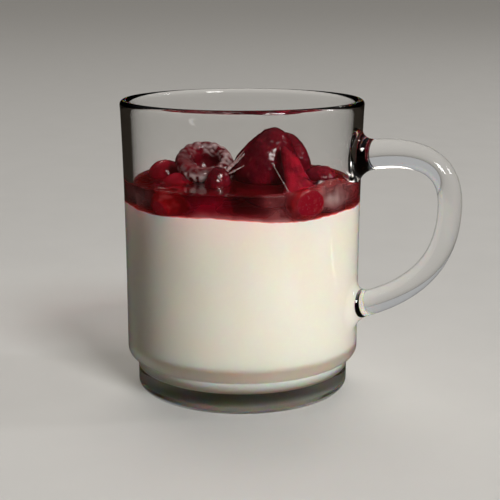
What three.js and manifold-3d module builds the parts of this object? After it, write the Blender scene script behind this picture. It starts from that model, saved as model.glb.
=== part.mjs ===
// A clear stackable glass mug filled with panna cotta, under a layer of berry syrup with whole berries.
// Millimetres, +Z up, standing on Z = 0, with the handle along +X.
// The plan centre of the whole, handle included, lies on the Z axis.
import * as THREE from 'three';
import { mergeVertices } from 'three/addons/utils/BufferGeometryUtils.js';
import Module from 'manifold-3d';

const wasm = await Module();
wasm.setup();

// Mug: pressed glass of one wall thickness, with a narrower foot that stacks into the next mug's rim.
const MUG_HEIGHT = 90.4;
const WALL = 2.9;
const BODY_R = 36.3; // outer radius just above the shoulder
const BODY_FLARE = 1.05; // how much wider the body is under the rim
const RIM_ROUND = 1.4;
const SHOULDER_ROUND = 3;
const SHOULDER_Z = 13.3; // where the shoulder's curve leaves the straight body
const CREASE_DEPTH = 0.4; // the groove under the shoulder, above the foot
const WALL_RINGS = [46, 70]; // heights between shoulder and rim where the flare is followed
const FOOT_R = 33.1;
const FOOT_ROUND = 2.45;
const RING_WIDTH = 2; // flat ring that the mug stands on
const RECESS_SLOPE = 2.2; // width of the sloping edge between the ring and the recess
const RECESS_DEPTH = 1.5; // at the middle, under the foot
const RECESS_EDGE_DEPTH = 1.2;
const FLOOR_Z = 5.4;
const FLOOR_ROUND = 4;
const STEP_RISE = 1.8; // the inside steps out over the shoulder by this much height and width
const STEP_OUT = 1.1;
const STEP_BASE = 0.3;

// Handle: the centre line is two cubic curves that meet where the grip runs straight down.
const GRIP_X = 64.4;
const GRIP_Z = 60.6;
const UPPER_ROOT_Z = 73.1;
const LOWER_ROOT_Z = 26.7;
const ROOT_X = 32.6; // the ends of the centre line, inside the wall and the hollow that is cut later
const UPPER_LEAD = new THREE.Vector3(39, 0, UPPER_ROOT_Z + 1.7); // the curves' control points
const UPPER_BEND = new THREE.Vector3(GRIP_X, 0, GRIP_Z + 21);
const LOWER_BEND = new THREE.Vector3(GRIP_X, 0, GRIP_Z - 15.5);
const LOWER_LEAD = new THREE.Vector3(56.6, 0, LOWER_ROOT_Z + 6);
const HANDLE_HALF_WIDTH = 5;
const HANDLE_THICK_TOP = 4.7; // half thickness in the handle's plane: upper root, grip, lower root
const HANDLE_THICK_GRIP = 3.5;
const HANDLE_THICK_LOW = 3.85;
const HANDLE_FILLET = 4.5;
const GRIP_FROM = 0.42; // the slim stretch, as shares of the centre line's length
const GRIP_TO = 0.6;

// Contents
const CREAM_Z = 58.8;
const SYRUP_Z = 66.3;
const GAP = 0.3; // left between pieces that touch

// Fineness
const TURN_STEPS = 52;
const ARC_STEPS = 4;
const HANDLE_SIDES = 18;
const HANDLE_STEPS = 31;
const END_CROWDING = 0.13; // draws the handle's steps towards its two roots

const reach = GRIP_X + HANDLE_THICK_GRIP;
const bodyTopR = BODY_R + BODY_FLARE;
const AXIS_X = -(reach - bodyTopR) / 2;

const glass = new THREE.MeshStandardMaterial({ color: '#dfe6e4', roughness: 0.05, metalness: 0 });
const cream = new THREE.MeshStandardMaterial({ color: '#ece6d6', roughness: 0.45, metalness: 0 });
const syrup = new THREE.MeshStandardMaterial({ color: '#5a0a14', roughness: 0.1, metalness: 0 });
const scarlet = new THREE.MeshStandardMaterial({ color: '#9c0f22', roughness: 0.3, metalness: 0 });
const crimson = new THREE.MeshStandardMaterial({ color: '#6d0a18', roughness: 0.3, metalness: 0 });
const nearBlack = new THREE.MeshStandardMaterial({ color: '#2b0a16', roughness: 0.35, metalness: 0 });

// Closed mesh to solid: shared points are merged and the flat triangles at the poles are dropped.
function solidFrom(geometry) {
  const bare = geometry.clone();
  bare.deleteAttribute('normal');
  bare.deleteAttribute('uv');
  const merged = mergeVertices(bare, 1e-4);
  const corners = merged.index.array;
  const kept = [];
  for (let i = 0; i < corners.length; i += 3) {
    const [a, b, c] = [corners[i], corners[i + 1], corners[i + 2]];
    if (a !== b && b !== c && c !== a) kept.push(a, b, c);
  }
  const vertProperties = new Float32Array(merged.attributes.position.array);
  const triVerts = new Uint32Array(kept);
  return new wasm.Manifold(new wasm.Mesh({ numProp: 3, vertProperties, triVerts }));
}

function geometryFrom(solid) {
  const mesh = solid.getMesh();
  const geometry = new THREE.BufferGeometry();
  geometry.setAttribute('position', new THREE.BufferAttribute(mesh.vertProperties, mesh.numProp));
  geometry.setIndex(new THREE.BufferAttribute(mesh.triVerts, 1));
  geometry.computeVertexNormals();
  return geometry;
}

// A profile of [radius, height] pairs, turned about the mug's own axis.
function turned(profile) {
  const points = profile.map(([r, z]) => new THREE.Vector2(r, z));
  return new THREE.LatheGeometry(points, TURN_STEPS).rotateX(Math.PI / 2);
}

// Points of an arc in the profile's plane, between two angles in degrees.
function arc(centreR, centreZ, radius, from, to) {
  const points = [];
  for (let i = 0; i <= ARC_STEPS; i += 1) {
    const a = THREE.MathUtils.degToRad(THREE.MathUtils.lerp(from, to, i / ARC_STEPS));
    points.push([centreR + radius * Math.cos(a), centreZ + radius * Math.sin(a)]);
  }
  return points;
}

// The body is almost straight and opens a little faster towards the rim.
function bodyRadius(z) {
  const t = THREE.MathUtils.clamp((z - SHOULDER_Z) / (MUG_HEIGHT - SHOULDER_Z), 0, 1);
  return BODY_R + BODY_FLARE * t ** 3;
}

// Outside of the glass, from the recess under the foot up to the rim and back to the axis.
function outsideProfile() {
  const ringOuter = FOOT_R - FOOT_ROUND;
  const ringInner = ringOuter - RING_WIDTH;
  const shoulderR = BODY_R - SHOULDER_ROUND;
  const rimZ = MUG_HEIGHT - RIM_ROUND;
  const walls = WALL_RINGS.map((z) => [bodyRadius(z), z]);
  return [
    [0, RECESS_DEPTH],
    [ringInner - RECESS_SLOPE, RECESS_EDGE_DEPTH],
    [ringInner, 0],
    ...arc(ringOuter, FOOT_ROUND, FOOT_ROUND, -90, 0),
    [FOOT_R, SHOULDER_Z - SHOULDER_ROUND - CREASE_DEPTH],
    ...arc(shoulderR, SHOULDER_Z, SHOULDER_ROUND, -85, 0),
    ...walls,
    ...arc(bodyTopR - RIM_ROUND, rimZ, RIM_ROUND, 0, 90),
    [0, MUG_HEIGHT],
  ];
}

// Inside of the glass up to the height given, drawn in by an inset that leaves room for what it holds.
function insideProfile(inset, topZ) {
  const low = SHOULDER_Z - SHOULDER_ROUND;
  const footR = FOOT_R - WALL - inset;
  const round = FLOOR_ROUND - inset;
  const floorZ = FLOOR_Z + inset;
  const walls = [SHOULDER_Z + STEP_OUT, ...WALL_RINGS]
    .filter((z) => z < topZ)
    .map((z) => [bodyRadius(z) - WALL - inset, z]);
  return [
    [0, floorZ],
    ...arc(footR - round, floorZ + round, round, -90, 0),
    [footR + STEP_BASE, low + STEP_BASE],
    [footR + STEP_BASE + STEP_OUT, low + STEP_BASE + STEP_RISE],
    ...walls,
    [bodyRadius(topZ) - WALL - inset, topZ],
  ];
}

// The handle's centre line, in the plane Y = 0 and measured from the mug's own axis.
function handleLine() {
  const upperRoot = new THREE.Vector3(ROOT_X, 0, UPPER_ROOT_Z);
  const lowerRoot = new THREE.Vector3(ROOT_X, 0, LOWER_ROOT_Z);
  const grip = new THREE.Vector3(GRIP_X, 0, GRIP_Z);
  const path = new THREE.CurvePath();
  path.add(new THREE.CubicBezierCurve3(upperRoot, UPPER_LEAD, UPPER_BEND, grip));
  path.add(new THREE.CubicBezierCurve3(grip, LOWER_BEND, LOWER_LEAD, lowerRoot));
  return path;
}

// Half thickness in the handle's plane: stout at the upper root, slim at the grip, stouter again below.
function handleHalfThickness(t) {
  const { lerp, smoothstep } = THREE.MathUtils;
  const fromTop = lerp(HANDLE_THICK_TOP, HANDLE_THICK_GRIP, smoothstep(t, 0, GRIP_FROM));
  const toLow = lerp(0, HANDLE_THICK_LOW - HANDLE_THICK_GRIP, smoothstep(t, GRIP_TO, 1));
  return fromTop + toLow;
}

// An oval bar drawn along the centre line. Near the wall it spreads in a quarter round.
function handleGeometry() {
  const path = handleLine();
  const bar = new THREE.CylinderGeometry(1, 1, 1, HANDLE_SIDES, HANDLE_STEPS);
  const position = bar.attributes.position;
  const side = new THREE.Vector3(0, 1, 0);
  for (let i = 0; i < position.count; i += 1) {
    const across = position.getZ(i);
    const up = position.getX(i);
    const even = position.getY(i) + 0.5;
    const crowded = even - END_CROWDING * Math.sin(2 * Math.PI * even);
    const t = THREE.MathUtils.clamp(crowded, 0, 1);
    const centre = path.getPointAt(t);
    const normal = new THREE.Vector3().crossVectors(path.getTangentAt(t), side);
    const place = (extra) => centre.clone()
      .addScaledVector(normal, up * (handleHalfThickness(t) + extra))
      .addScaledVector(side, across * (HANDLE_HALF_WIDTH + extra));
    const bare = place(0);
    const clear = Math.max(0, Math.hypot(bare.x, bare.y) - bodyRadius(bare.z));
    const left = Math.max(0, 1 - clear / HANDLE_FILLET);
    const point = place(HANDLE_FILLET * (1 - Math.sqrt(1 - left * left)));
    position.setXYZ(i, point.x, point.y, point.z);
  }
  return bar;
}

// The glass: body and handle are one piece, hollowed out last so that nothing of the handle shows inside.
function mugSolid() {
  const blank = solidFrom(turned(outsideProfile())).add(solidFrom(handleGeometry()));
  const rimZ = MUG_HEIGHT - RIM_ROUND;
  const mouthR = bodyTopR - RIM_ROUND;
  const above = MUG_HEIGHT + WALL;
  const hollow = [
    ...insideProfile(0, rimZ),
    ...arc(mouthR, rimZ, WALL - RIM_ROUND, 150, 100),
    [mouthR, above],
    [0, above],
  ];
  return blank.subtract(solidFrom(turned(hollow)));
}

// A round slab that fits the inside of the glass between two heights above the shoulder.
function slab(lowZ, highZ) {
  const radius = (z) => bodyRadius(z) - WALL - GAP;
  return solidFrom(turned([[0, lowZ], [radius(lowZ), lowZ], [radius(highZ), highZ], [0, highZ]]));
}

function creamSolid() {
  return solidFrom(turned([...insideProfile(GAP, CREAM_Z), [0, CREAM_Z]]));
}

// A fruit starts as a ball of small triangles. Its shape says where each direction's skin lies.
function skinned(detail, shape) {
  const ball = new THREE.IcosahedronGeometry(1, detail);
  const position = ball.attributes.position;
  const direction = new THREE.Vector3();
  for (let i = 0; i < position.count; i += 1) {
    direction.fromBufferAttribute(position, i).normalize();
    const skin = shape(direction);
    position.setXYZ(i, skin.x, skin.y, skin.z);
  }
  return ball;
}

// Soft uneven swelling, different for each fruit by its phase.
function swell(d, phase, amount) {
  const a = Math.sin(3.1 * d.x + 1.7 * d.z + phase);
  const b = Math.sin(2.7 * d.y - 2.3 * d.z + 2.4 * phase);
  const c = Math.sin(4.6 * d.x * d.y + 1.3 * phase);
  return 1 + amount * (a + b + c) / 3;
}

const STRAWBERRY_SWELL = 0.1; // unevenness, as a share of the radius
const ROUND_BERRY_SWELL = 0.05;
const TIP_TAPER = 0.3; // how much slimmer a strawberry is at its tip
const NECK_FROM = 0.05; // where a long strawberry draws in above its shoulder, as shares of its length
const NECK_TO = 0.55;
const BEAD_COUNT = 38;
const BEAD_ANGLE = 0.36; // half angle that one bead takes, in radians
const BEAD_RISE = 0.14; // how far the beads stand out, as a share of the radius

// Thawed strawberry: broad at the shoulder, drawn in to a blunt tip along +Z. A long one has a neck, the
// share by which it is slimmer above the shoulder, and a bend, how far its middle stands aside.
function strawberry({ width, length, phase, neck = 0, bend = [0, 0], detail = 3 }) {
  return skinned(detail, (d) => {
    const toTip = (d.z + 1) / 2;
    const drawnIn = 1 - neck * THREE.MathUtils.smoothstep(toTip, NECK_FROM, NECK_TO);
    const girth = (width / 2) * (1 - TIP_TAPER * toTip ** 2) * drawnIn * swell(d, phase, STRAWBERRY_SWELL);
    const half = (length / 2) * swell(d, phase + 2, STRAWBERRY_SWELL / 2);
    const bow = 4 * toTip * (1 - toTip);
    return new THREE.Vector3(d.x * girth + bend[0] * bow, d.y * girth + bend[1] * bow, d.z * half);
  });
}

// Round berry with a taut skin, a little longer or flatter than a ball.
function cranberry({ width, length, phase, detail = 3 }) {
  return skinned(detail, (d) => {
    const plump = swell(d, phase, ROUND_BERRY_SWELL) / 2;
    return new THREE.Vector3(d.x * width * plump, d.y * width * plump, d.z * length * plump);
  });
}

// Bramble: beads all round, spaced by the golden angle.
function bramble({ width, length, phase, detail = 3 }) {
  const beads = [];
  for (let i = 0; i < BEAD_COUNT; i += 1) {
    const z = 1 - (2 * i + 1) / BEAD_COUNT;
    const turn = i * Math.PI * (3 - Math.sqrt(5)) + phase;
    const ring = Math.sqrt(1 - z * z);
    beads.push(new THREE.Vector3(ring * Math.cos(turn), ring * Math.sin(turn), z));
  }
  return skinned(detail, (d) => {
    const nearest = Math.min(...beads.map((bead) => d.angleTo(bead)));
    const rise = 1 - BEAD_RISE * Math.min(1, nearest / BEAD_ANGLE) ** 2;
    return new THREE.Vector3(d.x * width * rise, d.y * width * rise, d.z * length * rise).divideScalar(2);
  });
}

// Raspberry off its core, mouth along +Z: a thick ring of beads round the hollow.
function openRaspberry({ width, length, phase }) {
  const sides = 24;
  const beads = 12;
  const beadDepth = 0.035; // as a share of the radius
  const squeeze = 0.93; // slightly oval mouth
  const r = width / 2;
  const profile = [
    [0, -length], [0.42 * r, 0.8 - length], [0.84 * r, -0.55 * length], [r, -0.2 * length],
    [0.98 * r, -0.07 * length], [0.82 * r, 0], [0.62 * r, -0.02 * length], [0.5 * r, -0.1 * length],
    [0.42 * r, -0.26 * length], [0.2 * r, -0.36 * length], [0, -0.38 * length],
  ];
  const cup = new THREE.LatheGeometry(profile.map(([x, z]) => new THREE.Vector2(x, z)), sides);
  cup.rotateX(Math.PI / 2);
  const position = cup.attributes.position;
  for (let i = 0; i < position.count; i += 1) {
    const turn = Math.atan2(position.getY(i), position.getX(i));
    const bead = 1 + beadDepth * Math.cos(beads * turn + phase);
    position.setXYZ(i, position.getX(i) * bead, position.getY(i) * bead * squeeze, position.getZ(i));
  }
  return cup;
}

// The fruit, placed from the mug's own axis, with the way its tip or mouth points and how fine its ball is.
// The tall ones stand out of the syrup, and the small ones lie round the wall, half sunk.
const FRUIT = [
  { name: 'strawberry_tall', kind: strawberry, colour: crimson,
    at: [8.5, -1.5, 70.7], tip: [0.3, 0.19, 0.93], width: 20, length: 23.4, phase: 0.4, detail: 4 },
  { name: 'strawberry_behind', kind: strawberry, colour: crimson,
    at: [9.9, 16.4, 68.8], tip: [-0.09, -0.03, 1], width: 17.8, length: 19.4, phase: 2.1 },
  { name: 'strawberry_leaning', kind: strawberry, colour: scarlet,
    at: [20, -14.5, 68.1], tip: [-0.39, 0.51, 0.77], width: 16, length: 24.2, phase: 4.2,
    neck: 0.56, bend: [1.1, 0.45] },
  { name: 'raspberry_open', kind: openRaspberry, colour: crimson,
    at: [-9.3, -8.8, 73.3], tip: [0.17, -0.52, 0.84], width: 17.8, length: 15.4, phase: 1 },
  { name: 'currant_oval', kind: cranberry, colour: scarlet,
    at: [-2.7, -16, 65.6], tip: [0.2, 0.1, 1], width: 7.8, length: 12.2, phase: 0.9, detail: 2 },
  { name: 'bramble_by_handle', kind: bramble, colour: nearBlack,
    at: [26.8, -6.4, 61.9], tip: [0.4, 0.3, 0.87], width: 10.8, length: 11.6, phase: 0.3 },
  { name: 'cherry_by_handle', kind: cranberry, colour: crimson,
    at: [22.7, 8.7, 64.3], tip: [0.2, 0.3, 0.9], width: 11.4, length: 11.2, phase: 3.3, detail: 2 },
  { name: 'cranberry_left', kind: cranberry, colour: scarlet,
    at: [-24.3, -3.7, 65.3], tip: [0.3, 0.1, 0.95], width: 11.6, length: 11.9, phase: 5.2 },
  { name: 'cranberry_low', kind: cranberry, colour: scarlet,
    at: [-16.2, -14, 63.7], tip: [0.6, -0.2, 0.77], width: 10, length: 10.2, phase: 1.6, detail: 2 },
  { name: 'cranberry_at_glass', kind: cranberry, colour: scarlet,
    at: [-12.2, -25.2, 61.3], tip: [0.15, -0.2, 0.97], width: 12.2, length: 8.9, phase: 2.8 },
  { name: 'currant_back_right', kind: cranberry, colour: scarlet,
    at: [21.6, 18.8, 63.6], tip: [0, 0.4, 0.9], width: 8.8, length: 9, phase: 4.4, detail: 2 },
  { name: 'currant_middle', kind: cranberry, colour: crimson,
    at: [-6.7, 10.6, 64], tip: [0.5, 0, 0.87], width: 9.4, length: 9.8, phase: 0.2, detail: 2 },
  { name: 'cherry_back_left', kind: cranberry, colour: crimson,
    at: [-17.9, 11.5, 64.6], tip: [-0.3, 0.3, 0.9], width: 10.8, length: 10.6, phase: 3.9, detail: 2 },
  { name: 'bramble_back', kind: bramble, colour: nearBlack,
    at: [-4.9, 23.1, 64.6], tip: [0.8, 0.4, 0.4], width: 10.4, length: 12, phase: 1.2 },
  { name: 'currant_back_left', kind: cranberry, colour: scarlet,
    at: [-15.8, 22.7, 63.9], tip: [0.1, 0.2, 0.97], width: 9.2, length: 9.6, phase: 5.9, detail: 2 },
  { name: 'currant_back', kind: cranberry, colour: scarlet,
    at: [6.4, 29, 63.2], tip: [0, 0.6, 0.8], width: 7.8, length: 8, phase: 2.5, detail: 2 },
  { name: 'currant_far_left', kind: cranberry, colour: scarlet,
    at: [-26.9, 8.4, 63.6], tip: [0.1, 0, 1], width: 8.6, length: 9, phase: 0.7, detail: 2 },
];

function placed(fruit) {
  const turn = new THREE.Quaternion().setFromUnitVectors(
    new THREE.Vector3(0, 0, 1),
    new THREE.Vector3(...fruit.tip).normalize(),
  );
  return fruit.kind(fruit).applyQuaternion(turn);
}

// The room kept round a fruit: a coarser copy, larger by the gap and by how far its flat faces cut inside.
// A beaded fruit keeps the room of a plain one of its size, and a necked one needs a finer copy.
const BALL_FACE_ARC = 0.65; // angle from the middle of an undivided face to its corner, in radians
const ROOM_GAP = 0.4; // along the radius, so that the gap square to a sloping skin stays near GAP

function roomRound(fruit) {
  const detail = Math.max(1, (fruit.detail ?? 3) - (fruit.neck ? 0 : 1));
  const kind = fruit.kind === bramble ? cranberry : fruit.kind;
  const flats = 1 / Math.cos(BALL_FACE_ARC / (detail + 1));
  const slimmest = Math.min(fruit.width * (1 - (fruit.neck ?? 0) / 2), fruit.length);
  const grow = flats + (2 * ROOM_GAP) / slimmest;
  return solidFrom(placed({ ...fruit, kind, detail }).scale(grow, grow, grow).translate(...fruit.at));
}

// Each fruit gives way where it would press into one placed before it, into the cream or into the glass.
// The syrup then fills what is left up to its level, and a scrap cut off between fruit and wall is dropped.
function fillSolids() {
  const room = slab(CREAM_Z + GAP, MUG_HEIGHT);
  const spread = [];
  const solids = new Map();
  for (const fruit of FRUIT) {
    let solid = solidFrom(placed(fruit).translate(...fruit.at)).intersect(room);
    for (const other of spread) solid = solid.subtract(other);
    spread.push(roomRound(fruit));
    solids.set(fruit, largest(solid));
  }
  let pool = slab(CREAM_Z + GAP, SYRUP_Z);
  for (const other of spread) pool = pool.subtract(other);
  return { solids, pool: largest(pool) };
}

function largest(solid) {
  return solid.decompose().reduce((best, piece) => (piece.volume() > best.volume() ? piece : best));
}

const group = new THREE.Group();
group.position.x = AXIS_X;

function addPiece(name, solid, material) {
  const mesh = new THREE.Mesh(geometryFrom(solid), material.clone());
  mesh.name = name;
  group.add(mesh);
}

const { solids, pool } = fillSolids();
addPiece('glass_mug', mugSolid(), glass);
addPiece('panna_cotta', creamSolid(), cream);
addPiece('berry_syrup', pool, syrup);
for (const [fruit, solid] of solids) addPiece(fruit.name, solid, fruit.colour);

export default group;
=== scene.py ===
import math

import bmesh
import bpy
import numpy as np
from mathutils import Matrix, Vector, noise


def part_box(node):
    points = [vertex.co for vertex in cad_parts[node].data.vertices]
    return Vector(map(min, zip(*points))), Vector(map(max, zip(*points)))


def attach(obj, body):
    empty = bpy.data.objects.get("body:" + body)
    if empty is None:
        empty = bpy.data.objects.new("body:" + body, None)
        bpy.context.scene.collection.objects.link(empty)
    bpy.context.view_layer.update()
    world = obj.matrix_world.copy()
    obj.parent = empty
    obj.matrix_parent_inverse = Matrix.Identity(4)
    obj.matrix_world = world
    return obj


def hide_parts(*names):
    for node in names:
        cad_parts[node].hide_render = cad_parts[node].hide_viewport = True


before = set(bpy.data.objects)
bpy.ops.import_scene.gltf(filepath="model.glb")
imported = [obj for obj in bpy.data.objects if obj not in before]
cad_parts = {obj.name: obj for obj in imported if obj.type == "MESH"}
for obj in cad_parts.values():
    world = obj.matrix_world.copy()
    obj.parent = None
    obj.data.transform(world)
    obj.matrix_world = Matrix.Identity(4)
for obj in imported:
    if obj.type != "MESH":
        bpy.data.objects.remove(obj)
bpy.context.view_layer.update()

# THE MUG. Clear pressed glass on a narrower foot, so that mugs stack. Body and handle come out of one mould,
# and the handle's two roots run out into the wall in small fillets. Lengths here and below are millimetres,
# counted from the mug's own axis.

MM = 0.001
low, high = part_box("panna_cotta")
AXIS_X = (low.x + high.x) / 2 / MM
HEIGHT = 90.4
WALL = 2.9
BODY_R = 36.3
BODY_FLARE = 1.05
RIM_ROUND = 1.4
SHOULDER_Z = 13.3
SHOULDER_ROUND = 3.0
FOOT_R = 33.1
FOOT_ROUND = 2.45
RING_OUT = FOOT_R - FOOT_ROUND
RING_IN = RING_OUT - 2.0
RECESS_DEPTH = 1.5
FLOOR_Z = 5.4
FLOOR_ROUND = 4.0
STEP_LOW, STEP_HIGH = 9.8, 15.0
COLUMNS = 192


class Wire:
    """A value in a material. Python's operators on it add the Math nodes that they stand for."""

    def __init__(self, tree, socket=None):
        self.tree, self.socket = tree, socket

    def add(self, kind, settings=None, sockets=None, out=0):
        """Adds a node with its settings, then its sockets' values or links. out picks one of its outputs."""
        node = self.tree.nodes.new("ShaderNode" + kind)
        for name, value in (settings or {}).items():
            setattr(node, name, value)
        for name, value in (sockets or {}).items():
            if isinstance(value, Wire):
                self.tree.links.new(value.socket, node.inputs[name])
            else:
                node.inputs[name].default_value = value
        return Wire(self.tree, node.outputs[out])

    def maths(self, operation, *values):
        return self.add("Math", {"operation": operation}, dict(enumerate(values)))

    def mix(self, first, second):
        """The first colour where this value is 0, the second where it is 1."""
        colours = [c if isinstance(c, Wire) else (*c, 1) for c in (first, second)]
        return self.add("Mix", {"data_type": "RGBA"}, {0: self, 6: colours[0], 7: colours[1]}, out=2)

    def ramp(self, start, end):
        """0 below start, 1 above end, and smooth in between."""
        limits = {"Value": self, "From Min": start, "From Max": end}
        return self.add("MapRange", {"interpolation_type": "SMOOTHSTEP"}, limits)

    def noise(self, scale, detail=2.0, stretch=(1, 1, 1)):
        """Uneven values from 0 to 1 through the piece, scale of them to a metre."""
        place = self.add("TexCoord", out="Object")
        size = tuple(scale * s for s in stretch)
        spread = self.add("Mapping", {}, {"Vector": place, "Scale": size})
        return self.add("TexNoise", {}, {"Vector": spread, "Scale": 1.0, "Detail": detail})

    def bump(self, relief_mm):
        """Normals of this value taken as relief, relief_mm deep from 0 to 1."""
        return self.add("Bump", {}, {"Height": self, "Distance": relief_mm * MM})

    def show(self, inside=None):
        """Ends the material with this shader, and with the one for its inside if there is one."""
        node = self.tree.nodes.new("ShaderNodeOutputMaterial")
        self.tree.links.new(self.socket, node.inputs["Surface"])
        if inside:
            self.tree.links.new(inside.socket, node.inputs["Volume"])

    def __add__(self, other):
        return self.maths("ADD", self, other)

    def __radd__(self, other):
        return self.maths("ADD", other, self)

    def __sub__(self, other):
        return self.maths("SUBTRACT", self, other)

    def __rsub__(self, other):
        return self.maths("SUBTRACT", other, self)

    def __mul__(self, other):
        return self.maths("MULTIPLY", self, other)

    def __rmul__(self, other):
        return self.maths("MULTIPLY", other, self)


def new_material(name):
    """An empty material, as the finish and the wire that its nodes are added to."""
    finish = bpy.data.materials.new(name)
    finish.use_nodes = True
    finish.node_tree.nodes.clear()
    return finish, Wire(finish.node_tree)


def make_piece(name, points, faces, finish, nodes=(), values=None):
    """A mesh from points in millimetres, which rides on the frame and stands for the CAD nodes named."""
    mesh = bpy.data.meshes.new(name)
    metres = (np.asarray(points, float) + (AXIS_X, 0, 0)) * MM
    mesh.from_pydata(metres.tolist(), [], [list(f) for f in faces])
    work = bmesh.new()
    work.from_mesh(mesh)
    bmesh.ops.recalc_face_normals(work, faces=work.faces)
    work.to_mesh(mesh)
    work.free()
    mesh.shade_smooth()
    for label, numbers in (values or {}).items():
        layer = mesh.attributes.new(label, "FLOAT", "POINT")
        layer.data.foreach_set("value", np.asarray(numbers, np.float32))
    mesh.materials.append(finish)
    made = bpy.data.objects.new(name, mesh)
    bpy.context.scene.collection.objects.link(made)
    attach(made, "root")
    if nodes:
        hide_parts(*nodes)


def smooth(t, start, end):
    t = np.clip((t - start) / (end - start), 0, 1)
    return t * t * (3 - 2 * t)


def body_radius(z):
    t = np.clip((np.asarray(z, float) - SHOULDER_Z) / (HEIGHT - SHOULDER_Z), 0, 1)
    return BODY_R + BODY_FLARE * t**3


def inside_radius(z):
    """Radius of the hollow: straight sides, drawn in over the shoulder and rounded at the floor."""
    z = np.asarray(z, float)
    foot = FOOT_R - WALL
    step = foot + (body_radius(z) - WALL - foot) * smooth(z, STEP_LOW, STEP_HIGH)
    drop = np.clip(FLOOR_Z + FLOOR_ROUND - z, 0, FLOOR_ROUND)
    return step - FLOOR_ROUND + np.sqrt(FLOOR_ROUND**2 - drop**2)


def arc(centre_r, centre_z, radius_r, radius_z, start, end, steps):
    angles = np.radians(np.linspace(start, end, steps))
    return [(centre_r + radius_r * math.cos(a), centre_z + radius_z * math.sin(a)) for a in angles]


def bezier(corners, t):
    a, b, c, d = (np.array(p, float) for p in corners)
    t = t[:, None]
    return a * (1 - t) ** 3 + 3 * b * t * (1 - t) ** 2 + 3 * c * t**2 * (1 - t) + d * t**3


# The handle's centre line, as (reach from the axis, height), and the bar's half width across the mug's wall
UPPER = [(32.6, 73.1), (39.0, 74.8), (64.4, 81.6), (64.4, 60.6)]
LOWER = [(64.4, 60.6), (64.4, 45.1), (56.6, 32.7), (32.6, 26.7)]
HALF_WIDTH = 5.0
# The bar's half thickness at its upper root, at the bend and at its lower root, and where the fillets start
BAR_UPPER, BAR_BEND, BAR_LOWER, BAR_ROOT = 4.7, 3.5, 3.85, 4.5
FILLET = 4.5
fine = np.linspace(0, 1, 1500)
line = np.vstack([bezier(UPPER, fine), bezier(LOWER, fine)[1:]])
run = np.concatenate([[0], np.cumsum(np.hypot(*np.diff(line, axis=0).T))])
run /= run[-1]
slope = np.gradient(line, axis=0)
slope /= np.hypot(*slope.T)[:, None]


def bar_point(t, up, across):
    """A point on the bar's skin at a share t of its length, where up faces out of the bend."""
    x, z = np.interp(t, run, line[:, 0]), np.interp(t, run, line[:, 1])
    tx, tz = np.interp(t, run, slope[:, 0]), np.interp(t, run, slope[:, 1])
    thick = BAR_UPPER + (BAR_BEND - BAR_UPPER) * smooth(t, 0, 0.42)
    thick += (BAR_LOWER - BAR_BEND) * smooth(t, 0.6, 1)
    return np.stack([x - tz * up * thick, across * HALF_WIDTH + 0 * x, z + tx * up * thick], -1)


# The wall is a grid whose rows fall on both roots. A window of cells is left out round each root.
WINDOW_ROWS = 10
WINDOW_COLUMNS = 9
UPPER_Z, LOWER_Z = 74.2, 27.9
ROWS_BETWEEN, ROWS_BEYOND = 39, 11
row_step = (UPPER_Z - LOWER_Z) / ROWS_BETWEEN
rows = [LOWER_Z + row_step * i for i in range(-ROWS_BEYOND, ROWS_BETWEEN + ROWS_BEYOND + 1)]
upper_row, lower_row = ROWS_BEYOND + ROWS_BETWEEN, ROWS_BEYOND

# The outline as (radius, height): from the recess under the foot up the outside, over the rim and down inside
profile = [(8.0, RECESS_DEPTH), (18.0, RECESS_DEPTH), (26.0, 1.33), (27.0, 1.0), (27.9, 0.35)]
profile += [(RING_IN, 0.0), ((RING_IN + RING_OUT) / 2, 0.0)]
profile += arc(RING_OUT, FOOT_ROUND, FOOT_ROUND, FOOT_ROUND, -90, 0, 9)
profile += [(FOOT_R, 4.2), (FOOT_R, 6.2), (FOOT_R, 8.2), (FOOT_R, 9.3), (FOOT_R + 0.05, 9.85)]
profile += arc(BODY_R - SHOULDER_ROUND, SHOULDER_Z, SHOULDER_ROUND, SHOULDER_ROUND, -82, 0, 11)
first_row = len(profile)
profile += [(float(body_radius(z)), z) for z in rows]
rim_z = HEIGHT - RIM_ROUND
rim_r = BODY_R + BODY_FLARE - RIM_ROUND
profile += arc(rim_r, rim_z, RIM_ROUND, RIM_ROUND, 0, 90, 9)
profile += arc(rim_r, rim_z, WALL - RIM_ROUND, RIM_ROUND, 90, 180, 9)[1:]
inner = [86, 82, 78, 74, 70, 66, 62, 58, 52, 46, 40, 34, 28, 23, 19, 16.5]
inner += [15, 14.3, 13.6, 12.9, 12.2, 11.5, 10.8, 10.2, 9.8, 9.4]
inner += [FLOOR_Z + FLOOR_ROUND * (1 - math.sin(math.radians(a))) for a in range(10, 91, 10)]
profile += [(float(inside_radius(z)), z) for z in inner]
profile += [(18.0, FLOOR_Z), (8.0, FLOOR_Z)]

turn = 2 * math.pi * np.arange(COLUMNS) / COLUMNS
points = [(r * math.cos(a), r * math.sin(a), z) for r, z in profile for a in turn]
bottom, floor = len(points), len(points) + 1
points += [(0, 0, RECESS_DEPTH), (0, 0, FLOOR_Z)]


def vertex(row, column):
    return row * COLUMNS + column % COLUMNS


def windowed(row, column):
    side = (column + COLUMNS // 2) % COLUMNS - COLUMNS // 2
    beside = -WINDOW_COLUMNS <= side < WINDOW_COLUMNS
    near = [r - WINDOW_ROWS <= row - first_row < r + WINDOW_ROWS for r in (upper_row, lower_row)]
    return beside and any(near)


faces = [
    (vertex(i, j), vertex(i, j + 1), vertex(i + 1, j + 1), vertex(i + 1, j))
    for i in range(len(profile) - 1)
    for j in range(COLUMNS)
    if not windowed(i, j)
]
last = len(profile) - 1
faces += [(bottom, vertex(0, j + 1), vertex(0, j)) for j in range(COLUMNS)]
faces += [(floor, vertex(last, j), vertex(last, j + 1)) for j in range(COLUMNS)]

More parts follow.
